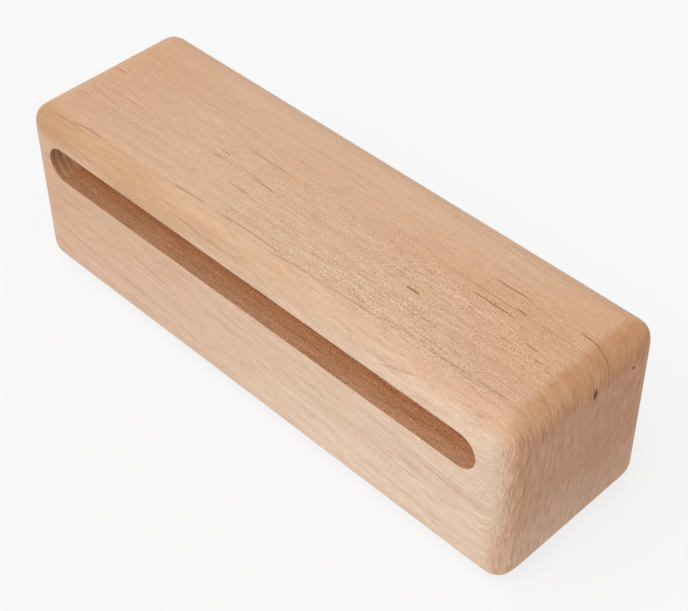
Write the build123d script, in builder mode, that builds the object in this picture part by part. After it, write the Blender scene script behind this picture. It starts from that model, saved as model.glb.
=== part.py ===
"""A woodblock: one block of hard maple, rounded on every edge, with a tone slot routed into its front face.

The long grain runs along X, the slot opens towards -Y, and the struck face looks up. The origin is at the
middle of the face that the block stands on.
"""

import os

from build123d import *

INCH = 25.4

# Block
block_length = 8 * INCH
block_width = 2.5 * INCH
block_height = 2.5 * INCH
edge_radius = 0.375 * INCH

# Tone slot: one pass of a half-inch straight cutter, closed at both ends and at the back
slot_height = 0.5 * INCH
slot_depth = 2 * INCH
tongue_thickness = 0.375 * INCH
end_wall = 11.8
lip_ease = 0.15

slot_length = block_length - 2 * end_wall
slot_centre_height = block_height - tongue_thickness - slot_height / 2
front_face = Plane.XZ.offset(block_width / 2)


def slot_outline(margin, depth):
    """The slot's outline, wider by margin all round, drawn this far behind the front face."""
    with BuildSketch(front_face.offset(-depth)) as outline:
        with Locations((0, slot_centre_height)):
            SlotOverall(slot_length + 2 * margin, slot_height + 2 * margin)
    return outline.sketch


with BuildPart() as block:
    # The sawn blank, with a round-over bit run along all twelve edges
    with BuildSketch(Plane.XY):
        Rectangle(block_length, block_width)
    extrude(amount=block_height)
    fillet(block.edges(), radius=edge_radius)

    # The tone slot, full round at both ends and flat at its back
    extrude(slot_outline(margin=0, depth=0), amount=-slot_depth, mode=Mode.SUBTRACT)

    # The lip of the slot, sanded just enough to take the sharp edge off
    loft(
        [slot_outline(margin=lip_ease, depth=0), slot_outline(margin=0, depth=lip_ease)],
        ruled=True,
        mode=Mode.SUBTRACT,
    )

block.part.label = "block"

os.makedirs("parts", exist_ok=True)
export_step(block.part, "parts/block.step")
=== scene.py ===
"""Looks of the woodblock: one block of sanded hard maple with a routed tone slot, on a pale studio floor.

Lengths are in metres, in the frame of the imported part: the grain runs along X, the slot opens towards -Y.
The maple is one solid pattern, read from Object coordinates in millimetres, so rings and streaks carry on
from face to face and over the rounded edges.
"""

import math

import bpy
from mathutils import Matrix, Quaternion, Vector


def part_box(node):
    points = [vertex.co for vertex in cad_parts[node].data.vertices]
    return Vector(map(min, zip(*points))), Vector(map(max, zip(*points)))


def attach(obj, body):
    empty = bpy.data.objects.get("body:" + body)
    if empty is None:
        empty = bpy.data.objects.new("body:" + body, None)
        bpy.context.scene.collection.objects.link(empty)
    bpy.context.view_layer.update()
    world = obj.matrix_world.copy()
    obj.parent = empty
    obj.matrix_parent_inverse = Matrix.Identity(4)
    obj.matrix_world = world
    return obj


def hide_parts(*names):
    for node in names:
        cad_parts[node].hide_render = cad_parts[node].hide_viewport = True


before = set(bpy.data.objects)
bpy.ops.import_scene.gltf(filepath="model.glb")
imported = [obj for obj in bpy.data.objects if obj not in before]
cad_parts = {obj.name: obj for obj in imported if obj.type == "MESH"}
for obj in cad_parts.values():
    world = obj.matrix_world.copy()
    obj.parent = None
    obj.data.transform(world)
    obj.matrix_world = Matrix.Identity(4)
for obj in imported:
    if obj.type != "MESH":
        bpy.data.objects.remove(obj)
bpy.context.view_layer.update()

MM = 0.001

# Tone slot, cut into the front face
SLOT_HEIGHT = 12.7 * MM
SLOT_DEPTH = 50.8 * MM
TONGUE_THICKNESS = 9.525 * MM
END_WALL = 11.8 * MM
LIP_EASE = 0.15 * MM

# Rounded edges, worked by hand, so the radius wanders a little. The corners are fuller than a ball.
EDGE_RADIUS = 9.525 * MM
EDGE_WANDER = 0.02
WANDER_LENGTH = 30 * MM
CORNER_FULLNESS = 0.085

# Mesh
GRID_STEP = 1.25 * MM
SLOT_END_POINTS = 20
CUTTER_RUN_IN = 5 * MM
WELD_DISTANCE = 0.01 * MM
CREASE_DEGREES = 60

# Camera, fitted to the photograph
EYE = Vector((265.07, -251.82, 370.79)) * MM
AIM = Vector((12.19, -2.54, 31.75)) * MM
ROLL_DEGREES = -0.53
LENS = 85.67
SENSOR_WIDTH = 36
CLIP_START = 0.01

# Studio light: a wide softbox far away, up and to the front
SKY_LEVEL = 0.5
LAMP_LEVEL = 1.8
LAMP_SPREAD_DEGREES = 50
LAMP_DIRECTION = Vector((-0.12, -0.46, 0.88))

# Floor, also the level of the background. Its plain share keeps most of the shadow off it.
FLOOR_HALF = 3.0
FLOOR_GAP = 0.2 * MM
FLOOR_LEVEL = 0.939
PLAIN_FLOOR_SHARE = 0.85

low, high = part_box("block")
block_size = high - low
block_middle = (low + high) / 2
slot_length = block_size.x - 2 * END_WALL
slot_middle_z = high.z - TONGUE_THICKNESS - SLOT_HEIGHT / 2


# Node helpers

def feed(tree, socket, value):
    """Links a socket, or sets a plain value."""
    if isinstance(value, bpy.types.NodeSocket):
        tree.links.new(value, socket)
    else:
        socket.default_value = value


def add(tree, kind, inputs=None, **settings):
    """Adds a node. Each input is a socket to link from or a value to set."""
    node = tree.nodes.new(kind)
    for name, value in settings.items():
        setattr(node, name, value)
    for name, value in (inputs or {}).items():
        feed(tree, node.inputs[name], value)
    return node


def maths(tree, operation, *values):
    node = tree.nodes.new("ShaderNodeMath")
    node.operation = operation
    for socket, value in zip(node.inputs, values):
        feed(tree, socket, value)
    return node.outputs[0]


def vectors(tree, operation, *values):
    node = tree.nodes.new("ShaderNodeVectorMath")
    node.operation = operation
    for socket, value in zip(node.inputs, values):
        feed(tree, socket, value)
    return node.outputs["Value" if operation in ("DOT_PRODUCT", "LENGTH") else "Vector"]


def scaled(tree, vector, factor):
    node = add(tree, "ShaderNodeVectorMath", operation="SCALE")
    feed(tree, node.inputs[0], vector)
    feed(tree, node.inputs["Scale"], factor)
    return node.outputs["Vector"]


def split(tree, vector):
    return add(tree, "ShaderNodeSeparateXYZ", {0: vector}).outputs


def combined(tree, x, y, z):
    return add(tree, "ShaderNodeCombineXYZ", {"X": x, "Y": y, "Z": z}).outputs["Vector"]


def smooth(tree, value, start, end, low=0.0, high=1.0):
    """A soft step from low at start to high at end."""
    return add(
        tree,
        "ShaderNodeMapRange",
        {"Value": value, "From Min": start, "From Max": end, "To Min": low, "To Max": high},
        interpolation_type="SMOOTHSTEP",
    ).outputs["Result"]


def noise(tree, point, feature, detail=2.0, roughness=0.5):
    """Noise from 0 to 1, whose lumps have this size along X, Y and Z."""
    place = vectors(tree, "DIVIDE", point, feature)
    return add(
        tree,
        "ShaderNodeTexNoise",
        {"Vector": place, "Scale": 1.0, "Detail": detail, "Roughness": roughness},
    ).outputs["Fac"]


def times(tree, *values):
    result = values[0]
    for value in values[1:]:
        result = maths(tree, "MULTIPLY", result, value)
    return result


def plus(tree, *values):
    result = values[0]
    for value in values[1:]:
        result = maths(tree, "ADD", result, value)
    return result


def rest_of(tree, share):
    """What is left of 1."""
    return maths(tree, "SUBTRACT", 1.0, share)


def size_of(tree, value):
    """The value without its sign."""
    return maths(tree, "ABSOLUTE", value)


def swing(tree, point, feature, amount, detail=2.0, roughness=0.5):
    """Noise that swings about zero."""
    fac = noise(tree, point, feature, detail, roughness)
    return times(tree, plus(tree, fac, -0.5), 2 * amount)


def blend(tree, factor, first, second, mode="MIX"):
    node = add(tree, "ShaderNodeMix", {0: factor, 6: first, 7: second}, data_type="RGBA", blend_type=mode)
    return node.outputs[2]


# Block

BLOCK_INPUTS = {
    "Size": "NodeSocketVector",
    "Middle": "NodeSocketVector",
    "Grid": "NodeSocketVector",
    "Edge radius": "NodeSocketFloat",
    "Edge wander": "NodeSocketFloat",
    "Corner fullness": "NodeSocketFloat",
    "Slot length": "NodeSocketFloat",
    "Slot height": "NodeSocketFloat",
    "Slot depth": "NodeSocketFloat",
    "Slot middle": "NodeSocketFloat",
    "Lip ease": "NodeSocketFloat",
    "Sanded maple": "NodeSocketMaterial",
    "Routed maple": "NodeSocketMaterial",
}


def rounded_blank(tree, given):
    """The sawn blank, all edges rounded: each point of a box moves to the edge radius from a core box."""
    counts = split(tree, given["Grid"])
    box = add(
        tree,
        "GeometryNodeMeshCube",
        {"Size": given["Size"], "Vertices X": counts[0], "Vertices Y": counts[1], "Vertices Z": counts[2]},
    )
    place = tree.nodes.new("GeometryNodeInputPosition").outputs[0]
    wander = noise(tree, place, (WANDER_LENGTH,) * 3, detail=1.0)
    wander = times(tree, plus(tree, wander, -0.5), given["Edge wander"])
    radius = times(tree, given["Edge radius"], plus(tree, wander, 1.0))
    core = vectors(tree, "SUBTRACT", scaled(tree, given["Size"], 0.5), radius)
    nearest = vectors(tree, "MINIMUM", vectors(tree, "MAXIMUM", place, scaled(tree, core, -1.0)), core)
    outward = vectors(tree, "NORMALIZE", vectors(tree, "SUBTRACT", place, nearest))
    # 0 along the edges and 1 in the middle of a corner, where the square of each part is a third
    corner = times(tree, *split(tree, outward)[:3])
    corner = times(tree, corner, corner, 27.0)
    fuller = plus(tree, times(tree, corner, given["Corner fullness"]), 1.0)
    rounded = vectors(tree, "ADD", nearest, scaled(tree, outward, times(tree, radius, fuller)))
    moved = vectors(tree, "ADD", rounded, given["Middle"])
    blank = add(tree, "GeometryNodeSetPosition", {"Geometry": box.outputs["Mesh"], "Position": moved})
    return blank.outputs["Geometry"]


def front_face(tree, given):
    """Where the front face lies along Y."""
    half_width = times(tree, split(tree, given["Size"])[1], 0.5)
    return maths(tree, "SUBTRACT", split(tree, given["Middle"])[1], half_width)


def slot_outline(tree, given):
    """The mouth of the slot, drawn flat: full round at both ends. Its rounds just don't meet."""
    oblong = add(
        tree,
        "GeometryNodeCurvePrimitiveQuadrilateral",
        {"Width": given["Slot length"], "Height": given["Slot height"]},
    )
    end_radius = times(tree, given["Slot height"], 0.4999)
    rounded = add(
        tree,
        "GeometryNodeFilletCurve",
        {"Curve": oblong.outputs["Curve"], "Count": SLOT_END_POINTS, "Radius": end_radius},
        mode="POLY",
    )
    return rounded.outputs["Curve"]


def welded(tree, geometry):
    inputs = {"Geometry": geometry, "Distance": WELD_DISTANCE}
    return add(tree, "GeometryNodeMergeByDistance", inputs).outputs["Geometry"]


def coated(tree, geometry, material, selection=True):
    inputs = {"Geometry": geometry, "Material": material, "Selection": selection}
    return add(tree, "GeometryNodeSetMaterial", inputs).outputs["Geometry"]


def slot_cutters(tree, given):
    """The straight cutter's path, and a thin moulding that takes the sharp edge off the lip."""
    outline = slot_outline(tree, given)
    mouth = combined(tree, 0.0, front_face(tree, given), given["Slot middle"])
    outside = vectors(tree, "SUBTRACT", mouth, (0, CUTTER_RUN_IN, 0))
    inward = combined(tree, 0.0, given["Slot depth"], 0.0)
    stroke = add(
        tree,
        "GeometryNodeCurvePrimitiveLine",
        {"Start": outside, "End": vectors(tree, "ADD", mouth, inward)},
    )
    cutter = add(
        tree,
        "GeometryNodeCurveToMesh",
        {"Curve": stroke.outputs["Curve"], "Profile Curve": outline, "Fill Caps": True},
    )

    ease = given["Lip ease"]
    spare = times(tree, ease, -0.5)
    shoulder = times(tree, ease, 1 - math.sqrt(0.5))
    corners = ((spare, spare), (ease, spare), (shoulder, shoulder), (spare, ease))
    section = tree.nodes.new("GeometryNodeCurvePrimitiveQuadrilateral")
    section.mode = "POINTS"
    for number, (outwards, deep) in enumerate(corners, start=1):
        feed(tree, section.inputs[f"Point {number}"], combined(tree, outwards, deep, 0.0))
    moulding = add(
        tree,
        "GeometryNodeCurveToMesh",
        {"Curve": outline, "Profile Curve": section.outputs["Curve"]},
    )
    placed = add(
        tree,
        "GeometryNodeTransform",
        {"Geometry": moulding.outputs["Mesh"], "Translation": mouth, "Rotation": (math.pi / 2, 0, 0)},
    )
    return welded(tree, cutter.outputs["Mesh"]), welded(tree, placed.outputs["Geometry"])


def in_slot(tree, given):
    """True on the faces that the cutter left, with the lip."""
    place = tree.nodes.new("GeometryNodeInputPosition").outputs[0]
    along, side, up = split(tree, place)[:3]
    ease = given["Lip ease"]
    behind = maths(tree, "SUBTRACT", side, front_face(tree, given))
    aside = size_of(tree, along)
    above = size_of(tree, maths(tree, "SUBTRACT", up, given["Slot middle"]))
    half_length = plus(tree, times(tree, given["Slot length"], 0.5), ease)
    half_height = plus(tree, times(tree, given["Slot height"], 0.5), ease)
    back = plus(tree, given["Slot depth"], ease)
    return times(
        tree,
        maths(tree, "GREATER_THAN", behind, times(tree, ease, 0.1)),
        maths(tree, "LESS_THAN", behind, back),
        maths(tree, "LESS_THAN", aside, half_length),
        maths(tree, "LESS_THAN", above, half_height),
    )


def block_tree():
    """Rounds the blank, routs the slot and eases its lip."""
    tree = bpy.data.node_groups.new("routed_block", "GeometryNodeTree")
    tree.is_modifier = True
    for name, kind in BLOCK_INPUTS.items():
        tree.interface.new_socket(name, in_out="INPUT", socket_type=kind)
    tree.interface.new_socket("Block", in_out="OUTPUT", socket_type="NodeSocketGeometry")
    given = tree.nodes.new("NodeGroupInput").outputs

    shape = rounded_blank(tree, given)
    for cutter in slot_cutters(tree, given):
        cut = add(tree, "GeometryNodeMeshBoolean", {"Mesh 1": shape}, operation="DIFFERENCE", solver="EXACT")
        feed(tree, cut.inputs["Mesh 2"], cutter)
        shape = cut.outputs["Mesh"]
    smoothed = add(tree, "GeometryNodeSetShadeSmooth", {"Geometry": welded(tree, shape)})
    bend = tree.nodes.new("GeometryNodeInputMeshEdgeAngle").outputs["Unsigned Angle"]
    creased = add(
        tree,
        "GeometryNodeSetShadeSmooth",
        {
            "Geometry": smoothed.outputs["Geometry"],
            "Selection": maths(tree, "GREATER_THAN", bend, math.radians(CREASE_DEGREES)),
            "Shade Smooth": False,
        },
        domain="EDGE",
    )
    whole = add(tree, "GeometryNodeRealizeInstances", {"Geometry": creased.outputs["Geometry"]})
    sanded = coated(tree, whole.outputs["Geometry"], given["Sanded maple"])
    finished = coated(tree, sanded, given["Routed maple"], in_slot(tree, given))
    add(tree, "NodeGroupOutput", {"Block": finished})
    return tree


def plain_mesh(name, tree, values):
    """Runs a geometry tree with these inputs and returns its result as an object with a plain mesh."""
    carrier = bpy.data.objects.new(name, bpy.data.meshes.new(name))
    bpy.context.scene.collection.objects.link(carrier)
    modifier = carrier.modifiers.new("shape", "NODES")
    modifier.node_group = tree
    for item in tree.interface.items_tree:
        if item.in_out == "INPUT":
            modifier[item.identifier] = values[item.name]
    seen = carrier.evaluated_get(bpy.context.evaluated_depsgraph_get())
    mesh = bpy.data.meshes.new_from_object(seen)
    carrier.modifiers.remove(modifier)
    carrier.data = mesh
    mesh.name = name
    for index in reversed(range(len(mesh.materials))):
        if mesh.materials[index] is None:
            mesh.materials.pop(index=index)
    return carrier


def make_block(sanded, routed):
    grid = [round(side / GRID_STEP) for side in block_size]
    values = {
        "Size": tuple(block_size),
        "Middle": tuple(block_middle),
        "Grid": tuple(grid),
        "Edge radius": EDGE_RADIUS,
        "Edge wander": EDGE_WANDER,
        "Corner fullness": CORNER_FULLNESS,
        "Slot length": slot_length,
        "Slot height": SLOT_HEIGHT,
        "Slot depth": SLOT_DEPTH,
        "Slot middle": slot_middle_z,
        "Lip ease": LIP_EASE,
        "Sanded maple": sanded,
        "Routed maple": routed,
    }
    return plain_mesh("maple_block", block_tree(), values)


# Maple, in millimetres: one solid pattern that the faces cut through

RING_LEAN = 0.42
HONEY_AXIS = (-0.02, 0.951, -0.309)
FIBRE_AXIS = (0.978, 0.0, 0.208)
FIBRE_FALL = 0.065
RING_WIDTH = 3.4

HEARTWARD = (0.642, 0.386, 0.237, 1)
# Pale end of the wood's tone; low down and on the right of the front it also stands for painted light
SAPWARD_AND_PAINTED_LIGHT = (0.742, 0.532, 0.384, 1)
HONEY = (0.53, 0.298, 0.145, 1)
RING_BROWN = (0.72, 0.60, 0.49, 1)
END_ORANGE = (0.865, 0.74, 0.60, 1)
END_TAN = (0.88, 0.78, 0.69, 1)
END_PALE = (0.99, 0.94, 0.90, 1)
END_BROWN = (0.83, 0.71, 0.645, 1)
END_RUST = (0.82, 0.665, 0.575, 1)
PITH_BROWN = (0.46, 0.35, 0.235, 1)
KNOT_BROWN = (0.13, 0.045, 0.012, 1)
# Slot walls: painted shade, darkest at the mouth and paler deeper in as painted light against the slot's own
# shadow, with painted light on the end walls
ROUTED_PAINTED_SHADE_MOUTH = (0.41, 0.18, 0.092, 1)
ROUTED_PAINTED_LIGHT_DEEP = (0.62, 0.262, 0.116, 1)
ROUTED_LEFT = (0.90, 0.96, 0.95, 1)
ROUTED_RIGHT = (1.02, 1.16, 1.2, 1)
ROUTED_END_PAINTED_LIGHT = (1.0, 1.2, 1.3, 1)

# Sizes of the wood's marks along X, Y and Z
FIBRE_WAVER = (17, 7, 7)
FINE_FIBRES = (14, 0.5, 0.5)
BROAD_FIBRES = (45, 2.4, 2.0)
FIBRE_STROKES = (6, 0.55, 0.55)
FIBRE_WAVES = (20, 1.2, 1.2)
VESSEL_PATCHES = (24, 10, 10)
STREAK_WOBBLE = (9, 6, 6)
STREAK_PATCHES = (5, 2, 2)
KNOT_WOBBLE = (2, 1.2, 1.2)
TONE_CLOUDS = (60, 14, 14)
RING_DRIFT = (140, 45, 45)
RING_RIPPLE = (28, 12, 12)
TORN_BORDER = (3, 1.4, 1.4)
END_BLOTCHES = (9, 5, 9)
ROUTED_FUR = (0.5, 0.26, 0.26)
ROUTED_SCORES = (12, 0.5, 0.5)

# Sizes of marks that follow the rings: along the fibres, across the rings and along the rings
RING_BREAKS = (45, 1.6, 6)
VESSEL_ROWS = (6, 0.5, 0.5)
VESSEL_DOTS = (0.42, 0.34, 0.34)
END_MARKS = (6, 0.36, 6.5)
END_DASHES = (0.5, 0.5, 2.4)
END_DASHES_ABOVE = (3.0, 0.5, 3.0)

# Bands that the cutter left on the end walls of the slot
CHATTER_STEP = 2.4

# How strongly the marks show as light and dark, and as relief
FIBRE_SHADE = 0.12
VESSEL_SHADE = 0.285
END_SHADE = 0.76
FIBRE_RELIEF = 0.4
VESSEL_RELIEF = 0.3
RING_RELIEF = -0.3

# How much of the figure shows in red, green and blue: dark lines are browner than light ones
SANDED_SHARES = (0.7, 1.0, 1.15)
ROUTED_SHARES = (0.66, 1.0, 1.25)

# Satin finish: raised fibres shine a little more than pores
SPECULAR_LEVEL = 0.3
ROUGHNESS_SPREAD = 0.06

# Streaks follow the rings a little way down, and pin knots run into the end
STREAK_LEAN = 0.325
STREAK_DEPTH = 12.0
KNOT_DEPTH = 6.0

# Dark streaks on the top face: start and end in X and Y, half width, strength
TOP_STREAKS = (
    ((42.3, -8.4), (47.6, -8.3), 0.40, 1.0),
    ((58.0, 11.3), (72.0, 11.2), 0.27, 0.8),
    ((88.0, 11.0), (96.5, 10.7), 0.29, 0.85),
    ((95.0, 10.8), (104.0, 10.2), 0.28, 0.6),
    ((98.0, 3.4), (104.0, 4.4), 0.27, 0.55),
    ((69.5, 6.3), (74.0, 6.2), 0.29, 0.85),
    ((55.5, 2.9), (73.0, 3.1), 0.29, 0.9),
    ((59.0, -1.9), (63.5, -2.0), 0.25, 0.5),
    ((80.0, -2.2), (85.0, -2.4), 0.27, 0.7),
    ((74.0, -5.2), (78.5, -5.2), 0.25, 0.6),
    ((85.5, -5.3), (88.8, -5.2), 0.25, 0.6),
    ((67.0, -22.0), (75.0, -21.6), 0.26, 0.6),
    ((-34.0, 2.5), (-13.0, 2.4), 0.25, 0.6),
    ((-39.0, -3.5), (-34.5, -3.7), 0.28, 0.6),
    ((-39.0, -6.2), (-34.5, -6.3), 0.28, 0.65),
    ((-22.5, -6.3), (-12.0, -6.5), 0.26, 0.7),
    ((-26.0, -12.5), (-16.5, -12.4), 0.26, 0.55),
    ((-96.0, 1.2), (-89.5, 1.4), 0.29, 0.7),
    ((-84.0, -25.5), (-66.0, -24.8), 0.27, 0.55),
    ((-97.0, 13.3), (-81.0, 13.5), 0.30, 0.27),
    ((-78.0, 13.6), (-33.0, 14.2), 0.28, 0.23),
    ((-26.0, 13.7), (10.0, 13.6), 0.28, 0.23),
    ((8.0, 13.7), (40.0, 14.2), 0.26, 0.16),
    ((-68.0, 9.3), (-28.0, 9.1), 0.40, 0.14),
    ((-25.0, 9.5), (-7.0, 9.0), 0.42, 0.22),
    ((-30.0, 5.3), (42.0, 5.2), 0.25, 0.12),
    ((36.0, 5.4), (104.0, 6.0), 0.25, 0.27),
    ((-58.0, -4.1), (-46.0, -3.8), 0.26, 0.23),
    ((-34.0, -6.3), (-22.0, -6.3), 0.24, 0.20),
    ((-92.0, -11.2), (-78.0, -11.0), 0.26, 0.25),
    ((-76.0, -10.9), (-54.0, -10.3), 0.24, 0.16),
    ((-73.0, -13.9), (-36.0, -12.8), 0.25, 0.17),
    ((-84.0, -18.0), (-72.0, -17.1), 0.25, 0.16),
    ((-62.0, -17.2), (-48.0, -16.4), 0.25, 0.18),
    ((-91.0, -19.8), (-72.0, -19.1), 0.25, 0.17),
    ((-19.0, -20.1), (-6.0, -19.5), 0.25, 0.20),
    ((-95.0, -26.6), (-79.0, -26.0), 0.28, 0.29),
    ((-66.0, -25.5), (-36.0, -24.7), 0.26, 0.14),
    ((-36.5, -24.2), (-23.0, -23.4), 0.27, 0.65),
    ((-21.0, -23.6), (10.0, -23.1), 0.26, 0.60),
    ((3.0, -24.7), (25.0, -23.4), 0.27, 0.42),
    ((20.0, -23.6), (54.0, -22.5), 0.27, 0.48),
    ((73.0, -21.7), (92.0, -21.0), 0.25, 0.27),
)

# Dark streaks on the front face: start and end in X and Z, half width, strength
FRONT_STREAKS = (
    ((62.5, 28.1), (71.0, 27.7), 0.34, 0.6),
    ((52.0, 25.2), (74.0, 24.0), 0.32, 0.28),
    ((42.0, 35.9), (97.0, 31.6), 0.32, 0.25),
    ((58.0, 33.6), (97.0, 29.8), 0.32, 0.25),
    ((50.0, 15.2), (97.0, 12.6), 0.32, 0.28),
    ((-97.0, 19.9), (-60.0, 17.4), 0.36, 0.32),
    ((-60.0, 17.2), (-22.0, 13.8), 0.36, 0.32),
    ((-92.0, 33.2), (-70.0, 32.6), 0.36, 0.28),
    ((-62.0, 31.4), (-31.0, 27.6), 0.36, 0.34),
    ((-68.0, 24.4), (-50.0, 21.9), 0.32, 0.28),
    ((-33.0, 58.9), (-8.0, 58.4), 0.36, 0.32),
    ((52.0, 57.0), (66.0, 60.6), 0.32, 0.30),
)

# Pin knots that come out at the right end: place in Y and Z, half sizes, lean
PIN_KNOTS = (
    (2.2, 55.8, 1.0, 1.9, 0.3),
    (18.4, 54.4, 0.8, 0.75, -0.7),
)


def figure_colour(tree, light, shares):
    """White, lightened and darkened by this much, more in blue than in red."""
    return combined(tree, *(plus(tree, times(tree, light, share), 1.0) for share in shares))


def front_share(tree, place):
    """1 on the front face, gone a few millimetres behind it."""
    return smooth(tree, split(tree, place)[1], -27.5, -31.7)


def ring_frame(tree, place):
    """The place in the tree: along the fibres, across the rings and along the rings.

    The rings lie flat against the front face and lean more and more behind it.
    """
    along, side, up = split(tree, place)[:3]
    drift = swing(tree, place, RING_DRIFT, 3.0, detail=1.0)
    ripple = swing(tree, place, RING_RIPPLE, 0.5, detail=1.0)
    lean = smooth(tree, side, -40.0, 30.0, 0.0, -RING_LEAN)
    across = plus(tree, side, times(tree, plus(tree, up, -32.0), lean), drift, ripple)
    around = plus(tree, up, times(tree, side, RING_LEAN))
    return combined(tree, along, across, around)


def growth_rings(tree, grown):
    """Thin late-wood lines, soft towards the heart and sharp towards the bark, some strong and some faint."""
    across = split(tree, grown)[1]
    uneven = swing(tree, combined(tree, across, 0.0, 0.0), (8, 1, 1), 1.1, detail=1.0)
    count = plus(tree, maths(tree, "DIVIDE", across, RING_WIDTH), uneven)
    within = maths(tree, "FRACT", count)
    line = times(tree, smooth(tree, within, 0.5, 0.95), smooth(tree, within, 0.95, 1.0, 1.0, 0.0))
    year = add(tree, "ShaderNodeTexWhiteNoise", {"W": maths(tree, "FLOOR", count)}, noise_dimensions="1D")
    strength = plus(tree, times(tree, year.outputs["Value"], 0.75), 0.25)
    broken = smooth(tree, noise(tree, grown, RING_BREAKS), 0.38, 0.62, 0.15, 1.0)
    return times(tree, line, strength, broken)


def fibre_lines(tree, place):
    """Fine lines along the fibres. On the front face they waver and fall to the right."""
    along, side, up = split(tree, place)[:3]
    front = front_share(tree, place)
    near_front = smooth(tree, side, -20.0, -27.0)
    waver = swing(tree, place, FIBRE_WAVER, 1.7)
    waver = times(tree, waver, plus(tree, times(tree, near_front, 0.75), 0.25))
    fallen = plus(tree, up, waver, times(tree, along, front, FIBRE_FALL))
    fibre = combined(tree, along, plus(tree, side, waver), fallen)
    fine = swing(tree, fibre, FINE_FIBRES, 0.8, roughness=0.6)
    broad = swing(tree, fibre, BROAD_FIBRES, 0.5)
    strokes = smooth(tree, noise(tree, fibre, FIBRE_STROKES), 0.57, 0.72, 0.0, -0.9)
    waves = times(tree, swing(tree, fibre, FIBRE_WAVES, 1.0, detail=1.0), near_front)
    strength = plus(tree, times(tree, near_front, 0.7), 0.65)
    return times(tree, plus(tree, fine, broad, strokes, waves), strength)


def vessel_lines(tree, place, grown):
    """Fine dotted rows along the fibres, in patches, most of them right and in front on the top face."""
    along, side = split(tree, place)[:2]
    rightward = smooth(tree, along, -60.0, 75.0, 0.55, 1.2)
    frontward = smooth(tree, side, 20.0, -2.0, 0.4, 1.0)
    calmer = smooth(tree, side, -22.5, -26.5, 1.0, 0.4)
    patches = smooth(tree, noise(tree, place, VESSEL_PATCHES), 0.35, 0.62, 0.7, 1.1)
    rows = swing(tree, grown, VESSEL_ROWS, 0.7, detail=0.0)
    dots = swing(tree, grown, VESSEL_DOTS, 1.55, detail=0.0)
    return times(tree, plus(tree, rows, dots), rightward, frontward, calmer, patches)


def streak_group():
    """A dark streak from one point to another, thin and tapered at both ends."""
    tree = bpy.data.node_groups.new("dark_streak", "ShaderNodeTree")
    for name in ("Along", "Across", "Start", "End", "First side", "Last side", "Half width", "Strength"):
        tree.interface.new_socket(name, in_out="INPUT", socket_type="NodeSocketFloat")
    tree.interface.new_socket("Darkness", in_out="OUTPUT", socket_type="NodeSocketFloat")
    given = tree.nodes.new("NodeGroupInput").outputs
    reach = {"Value": given["Along"], "From Min": given["Start"], "From Max": given["End"]}
    ends = {"To Min": given["First side"], "To Max": given["Last side"]}
    middle = add(tree, "ShaderNodeMapRange", {**reach, **ends}, clamp=False).outputs["Result"]
    tips = {"To Min": -1.0, "To Max": 1.0}
    lengthwise = add(tree, "ShaderNodeMapRange", {**reach, **tips}, clamp=False).outputs["Result"]
    taper = maths(tree, "POWER", size_of(tree, lengthwise), 5.0)
    aside = size_of(tree, maths(tree, "SUBTRACT", given["Across"], middle))
    outside = plus(tree, maths(tree, "DIVIDE", aside, given["Half width"]), taper)
    add(tree, "NodeGroupOutput", {"Darkness": smooth(tree, outside, 0.35, 1.3, given["Strength"], 0.0)})
    return tree


def darkest_streak(tree, group, streaks, along, across):
    total = 0.0
    for (start, first_side), (end, last_side), half_width, strength in streaks:
        streak = tree.nodes.new("ShaderNodeGroup")
        streak.node_tree = group
        values = (along, across, start, end, first_side, last_side, half_width, strength)
        for socket, value in zip(streak.inputs, values):
            feed(tree, socket, value)
        total = maths(tree, "MAXIMUM", streak.outputs["Darkness"], total)
    return total


def dark_streaks(tree, place):
    group = streak_group()
    along, side, up = split(tree, place)[:3]
    wobble = swing(tree, place, STREAK_WOBBLE, 0.45)
    height = plus(tree, up, -high.z / MM)
    across = plus(tree, side, times(tree, height, -STREAK_LEAN), wobble)
    top = darkest_streak(tree, group, TOP_STREAKS, along, across)
    top = times(tree, top, smooth(tree, height, -STREAK_DEPTH, -STREAK_DEPTH / 2))
    front = darkest_streak(tree, group, FRONT_STREAKS, along, plus(tree, up, times(tree, wobble, 2.0)))
    front = times(tree, front, smooth(tree, side, -26.0, -30.0))
    patchy = smooth(tree, noise(tree, place, STREAK_PATCHES, 3.0), 0.36, 0.56, 0.45, 1.0)
    streak = maths(tree, "MAXIMUM", top, front)
    # Patches thin the faint streaks more than the dark ones
    kept = plus(tree, patchy, times(tree, streak, rest_of(tree, patchy)))
    return times(tree, streak, kept)


def pin_knots(tree, place):
    along, side, up = split(tree, place)[:3]
    wobble = swing(tree, place, KNOT_WOBBLE, 0.5)
    total = 0.0
    for y, z, half_width, half_height, lean in PIN_KNOTS:
        rise = plus(tree, up, -z)
        shift = plus(tree, side, -y, times(tree, rise, -lean))
        spot = combined(
            tree,
            times(tree, plus(tree, along, -high.x / MM), 1 / KNOT_DEPTH),
            times(tree, shift, 1 / half_width),
            times(tree, rise, 1 / half_height),
        )
        reach = plus(tree, vectors(tree, "LENGTH", spot), wobble)
        total = maths(tree, "MAXIMUM", smooth(tree, reach, 0.45, 1.15, 1.0, 0.0), total)
    return total


def honey_share(tree, place):
    """How far the wood turns honey: in a band along the upper front edge, most of all at its left end."""
    along, _, up = split(tree, place)[:3]
    slant = times(tree, plus(tree, along, 85.0), 0.03)
    edge = vectors(tree, "DOT_PRODUCT", place, HONEY_AXIS)
    edge = plus(tree, edge, slant, swing(tree, place, RING_RIPPLE, 0.8))
    dip = smooth(tree, size_of(tree, plus(tree, along, 42.0)), 8.0, 24.0, 3.0, 0.0)
    above_slot = smooth(tree, plus(tree, up, dip), 54.0, 58.0)
    reach = smooth(tree, along, -100.0, 90.0, 0.74, 0.06)
    darker_end = smooth(tree, along, -70.0, -92.0, 0.0, 0.15)
    paler_spot = smooth(tree, size_of(tree, plus(tree, along, 68.0)), 4.0, 20.0, -0.13, 0.0)
    strength = plus(tree, reach, darker_end, paler_spot)
    return times(tree, smooth(tree, edge, -39.6, -43.6), above_slot, strength)


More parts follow.
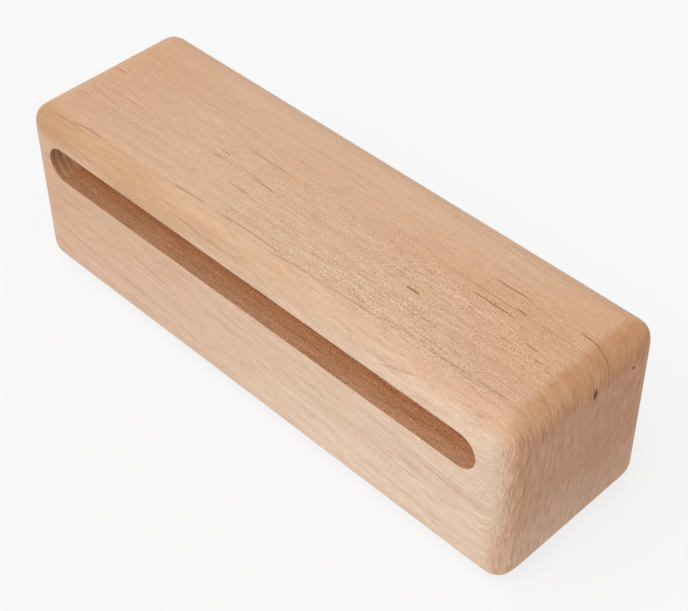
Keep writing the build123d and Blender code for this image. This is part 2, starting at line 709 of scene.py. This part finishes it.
def wood_tone(tree, place):
    """Pale on the front face, more so to the right, where the wood's tone carries some painted light; and
    paler low down on the other faces, which is painted light standing in for the floor's bounce.
    """
    along, side, up = split(tree, place)[:3]
    cloud = swing(tree, place, TONE_CLOUDS, 1.0)
    ends = smooth(tree, size_of(tree, along), 42.0, 95.0, 0.0, -0.28)
    frontward = smooth(tree, side, 2.0, -22.0, 0.0, 0.17)
    stripe = smooth(tree, size_of(tree, plus(tree, side, -8.0)), 3.0, 9.0, -0.22, 0.0)
    stripe = times(tree, stripe, smooth(tree, along, 0.0, 60.0))
    top = plus(tree, ends, frontward, stripe, 0.25)
    # Paler to the right on the front: partly the wood's tone, partly painted light
    front = plus(tree, times(tree, along, 0.0062), 0.70)
    share = front_share(tree, place)
    # Painted light: paler low down, less so on the front, in place of light bounced up from the floor
    painted_floor_bounce = times(tree, smooth(tree, up, 34.0, 8.0, 0.0, 1.1), plus(tree, times(tree, share, -0.75), 1.0))
    pale = plus(tree, times(tree, front, share), times(tree, top, rest_of(tree, share)))
    pale = plus(tree, pale, painted_floor_bounce, times(tree, cloud, 0.2))
    pale = maths(tree, "MINIMUM", maths(tree, "MAXIMUM", pale, -0.1), 1.15)
    shades = {0: pale, 6: HEARTWARD, 7: SAPWARD_AND_PAINTED_LIGHT}
    tone = add(tree, "ShaderNodeMix", shades, data_type="RGBA", clamp_factor=False)
    return blend(tree, honey_share(tree, place), tone.outputs[2], HONEY)


def end_tint(tree, place, facing, flat, ragged):
    """Brown on the flat of an end, paler on its round edges, and orange in blotches on the upper one."""
    side, up = split(tree, place)[1:3]
    upper_edge = smooth(tree, plus(tree, facing[2], maths(tree, "MINIMUM", facing[1], 0.1)), 0.1, 0.5)
    blotches = smooth(tree, noise(tree, place, END_BLOTCHES, 1.0), 0.38, 0.62, 0.65, 1.2)
    orange = times(tree, upper_edge, blotches, smooth(tree, side, -30.0, -5.0, 0.3, 1.0))
    tan = blend(tree, smooth(tree, plus(tree, up, times(tree, ragged, 40.0)), 14.0, 32.0), END_TAN, END_PALE)
    brown = blend(tree, smooth(tree, side, 4.0, 22.0), END_BROWN, END_RUST)
    return blend(tree, flat, blend(tree, orange, tan, END_ORANGE), brown)


def end_marks(tree, place, grown, facing, flat):
    """Torn fibres: long marks on the flat of an end and dashes on its round edges, calmer at the left end."""
    marks = swing(tree, grown, END_MARKS, 1.0, detail=1.5, roughness=0.6)
    marks = times(tree, marks, smooth(tree, size_of(tree, facing[0]), 0.5, 0.99, 0.2, 1.0))
    above = smooth(tree, size_of(tree, facing[2]), 0.1, 0.4)
    dashes = swing(tree, grown, END_DASHES, 0.34, detail=0.0)
    dashes = times(tree, dashes, plus(tree, times(tree, above, -0.6), 1.0))
    dashes_above = swing(tree, grown, END_DASHES_ABOVE, 0.19, detail=0.0)
    dashes = plus(tree, dashes, times(tree, dashes_above, above))
    rightward = smooth(tree, split(tree, place)[0], -60.0, 60.0, 0.6, 1.0)
    return times(tree, plus(tree, marks, times(tree, dashes, rest_of(tree, flat))), rightward)


def end_grain(tree, place, grown, normal):
    """How far a face cuts across the fibres, the tint that this gives it, and the torn marks there."""
    facing = split(tree, normal)
    flat = smooth(tree, size_of(tree, facing[0]), 0.77, 0.98)
    ragged = swing(tree, place, TORN_BORDER, 0.16, detail=3.0)
    turned = size_of(tree, vectors(tree, "DOT_PRODUCT", normal, FIBRE_AXIS))
    cut = smooth(tree, plus(tree, turned, ragged), 0.27, 0.56)
    tint = end_tint(tree, place, facing, flat, ragged)
    return cut, tint, times(tree, end_marks(tree, place, grown, facing, flat), cut)


def solid_maple():
    """The wood itself: its colour, whose tone also carries painted light low down and on the front, its
    figure in light and dark, and the relief that sanding leaves.
    """
    tree = bpy.data.node_groups.new("solid_maple", "ShaderNodeTree")
    tree.interface.new_socket("Colour", in_out="OUTPUT", socket_type="NodeSocketColor")
    tree.interface.new_socket("Figure", in_out="OUTPUT", socket_type="NodeSocketColor")
    tree.interface.new_socket("Relief", in_out="OUTPUT", socket_type="NodeSocketFloat")
    where = tree.nodes.new("ShaderNodeTexCoord").outputs
    place = scaled(tree, where["Object"], 1 / MM)
    grown = ring_frame(tree, place)
    cut, tint, torn = end_grain(tree, place, grown, where["Normal"])

    fibres = fibre_lines(tree, place)
    vessels = vessel_lines(tree, place, grown)
    rings = growth_rings(tree, grown)
    lengthwise = plus(tree, times(tree, fibres, FIBRE_SHADE), times(tree, vessels, VESSEL_SHADE))
    light = plus(tree, times(tree, lengthwise, rest_of(tree, cut)), times(tree, torn, END_SHADE))
    figure = figure_colour(tree, light, SANDED_SHARES)
    ring_depth = plus(tree, times(tree, cut, 0.2), 0.3)
    figure = blend(tree, times(tree, rings, ring_depth), figure, RING_BROWN, "MULTIPLY")

    colour = blend(tree, cut, wood_tone(tree, place), tint, "MULTIPLY")
    colour = blend(tree, 1.0, colour, figure, "MULTIPLY")
    colour = blend(tree, dark_streaks(tree, place), colour, PITH_BROWN, "MULTIPLY")
    colour = blend(tree, pin_knots(tree, place), colour, KNOT_BROWN)

    relief = plus(
        tree,
        times(tree, vessels, VESSEL_RELIEF),
        times(tree, fibres, FIBRE_RELIEF),
        times(tree, rings, RING_RELIEF),
    )
    add(tree, "NodeGroupOutput", {"Colour": colour, "Figure": figure, "Relief": relief})
    return tree


def maple_material(name, wood, relief_height, roughness):
    """A satin face of the wood. Returns the material, its shader and the wood's outputs."""
    material = bpy.data.materials.new(name)
    material.use_nodes = True
    tree = material.node_tree
    shader = tree.nodes["Principled BSDF"]
    maple = tree.nodes.new("ShaderNodeGroup")
    maple.node_tree = wood
    bump = add(tree, "ShaderNodeBump", {"Height": maple.outputs["Relief"], "Distance": relief_height})
    feed(tree, shader.inputs["Base Color"], maple.outputs["Colour"])
    feed(tree, shader.inputs["Normal"], bump.outputs["Normal"])
    dull, shiny = roughness + ROUGHNESS_SPREAD, roughness - ROUGHNESS_SPREAD
    feed(tree, shader.inputs["Roughness"], smooth(tree, maple.outputs["Relief"], -0.8, 0.8, dull, shiny))
    feed(tree, shader.inputs["Specular IOR Level"], SPECULAR_LEVEL)
    return material, shader, maple.outputs


def sanded_maple(wood):
    return maple_material("sanded_maple", wood, relief_height=0.02 * MM, roughness=0.5)[0]


def routed_maple_in_painted_shade(wood):
    """The walls of the slot: brown that is painted shade, darkest at the mouth, paler deeper in and on the
    end walls as painted light; furred with fine fibres and banded at the ends, as the cutter left them.
    """
    material, shader, maple = maple_material("routed_maple_in_painted_shade", wood, relief_height=0.05 * MM, roughness=0.65)
    tree = material.node_tree
    where = tree.nodes.new("ShaderNodeTexCoord").outputs
    place = scaled(tree, where["Object"], 1 / MM)
    along, side = split(tree, place)[:2]
    behind_front = plus(tree, side, -low.y / MM)
    endwise = smooth(tree, size_of(tree, split(tree, where["Normal"])[0]), 0.05, 0.75)

    fur = swing(tree, place, ROUTED_FUR, 0.95, detail=1.0)
    fur = times(tree, fur, plus(tree, times(tree, endwise, -0.55), 1.0))
    scores = swing(tree, place, ROUTED_SCORES, 0.35, detail=1.0)
    chatter = maths(tree, "COSINE", times(tree, behind_front, math.tau / CHATTER_STEP))
    # Painted light on the slot's end walls: paler deeper in and towards the left end
    leftward = smooth(tree, along, 80.0, -80.0, 0.5, 1.0)
    paler = times(tree, smooth(tree, behind_front, 0.0, 14.0, 0.15, 1.0), leftward)
    # Figure on the end walls: the cutter's bands plus painted light
    light = plus(tree, fur, scores, times(tree, endwise, plus(tree, times(tree, chatter, 0.3), paler)))

    # Painted shade: the brown is darkest at the mouth and paler deeper in, as painted light against the
    # slot's shadow
    brown = blend(tree, smooth(tree, behind_front, 1.0, 9.0), ROUTED_PAINTED_SHADE_MOUTH, ROUTED_PAINTED_LIGHT_DEEP)
    lengthwise = blend(tree, smooth(tree, along, -80.0, 80.0), ROUTED_LEFT, ROUTED_RIGHT)
    brown = blend(tree, 1.0, brown, lengthwise, "MULTIPLY")
    # Painted light lifts the end walls' colour
    brown = blend(tree, times(tree, endwise, paler), brown, ROUTED_END_PAINTED_LIGHT, "MULTIPLY")
    brown = blend(tree, 1.0, brown, maple["Figure"], "MULTIPLY")
    brown = blend(tree, 1.0, brown, figure_colour(tree, light, ROUTED_SHARES), "MULTIPLY")
    feed(tree, shader.inputs["Base Color"], brown)
    return material


# Stage

def seen_directly(tree):
    """1 for rays that see the background as it is: from the camera, a reflection or a clear piece."""
    ray = tree.nodes.new("ShaderNodeLightPath").outputs
    mirrored = maths(tree, "MAXIMUM", ray["Is Glossy Ray"], ray["Is Transmission Ray"])
    return maths(tree, "MAXIMUM", ray["Is Camera Ray"], mirrored)


def make_floor():
    mesh = bpy.data.meshes.new("floor")
    signs = ((-1, -1), (1, -1), (1, 1), (-1, 1))
    corners = [(x * FLOOR_HALF, y * FLOOR_HALF, -FLOOR_GAP) for x, y in signs]
    mesh.from_pydata(corners, [], [(0, 1, 2, 3)])
    material = bpy.data.materials.new("pale_floor")
    material.use_nodes = True
    tree = material.node_tree
    tree.nodes.remove(tree.nodes["Principled BSDF"])
    pale = (FLOOR_LEVEL, FLOOR_LEVEL, FLOOR_LEVEL, 1)
    lit = add(tree, "ShaderNodeBsdfDiffuse", {"Color": pale})
    plain = add(tree, "ShaderNodeEmission", {"Color": pale})
    share = times(tree, seen_directly(tree), PLAIN_FLOOR_SHARE)
    mixed = add(tree, "ShaderNodeMixShader", {0: share, 1: lit.outputs[0], 2: plain.outputs[0]})
    feed(tree, tree.nodes["Material Output"].inputs["Surface"], mixed.outputs[0])
    mesh.materials.append(material)
    floor = bpy.data.objects.new("studio_floor", mesh)
    bpy.context.scene.collection.objects.link(floor)


def make_light():
    world = bpy.data.worlds.new("studio")
    bpy.context.scene.world = world
    world.use_nodes = True
    tree = world.node_tree
    sky = tree.nodes["Background"]
    feed(tree, sky.inputs["Color"], (1, 1, 1, 1))
    level = smooth(tree, seen_directly(tree), 0.0, 1.0, SKY_LEVEL, FLOOR_LEVEL)
    feed(tree, sky.inputs["Strength"], level)

    lamp = bpy.data.lights.new("softbox", "SUN")
    lamp.energy = LAMP_LEVEL
    lamp.angle = math.radians(LAMP_SPREAD_DEGREES)
    holder = bpy.data.objects.new("softbox", lamp)
    holder.rotation_euler = LAMP_DIRECTION.to_track_quat("Z", "Y").to_euler()
    bpy.context.scene.collection.objects.link(holder)


def make_camera():
    camera = bpy.data.cameras.new("camera")
    camera.sensor_width = SENSOR_WIDTH
    camera.lens = LENS
    camera.clip_start = CLIP_START
    holder = bpy.data.objects.new("camera", camera)
    level = (AIM - EYE).to_track_quat("-Z", "Y")
    roll = Quaternion((0, 0, 1), math.radians(ROLL_DEGREES))
    holder.location = EYE
    holder.rotation_euler = (level @ roll).to_euler()
    bpy.context.scene.collection.objects.link(holder)
    bpy.context.scene.camera = holder


wood = solid_maple()
block = make_block(sanded_maple(wood), routed_maple_in_painted_shade(wood))
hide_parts("block")
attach(block, "root")

make_floor()
make_light()
make_camera()
bpy.context.scene.view_settings.view_transform = "Standard"
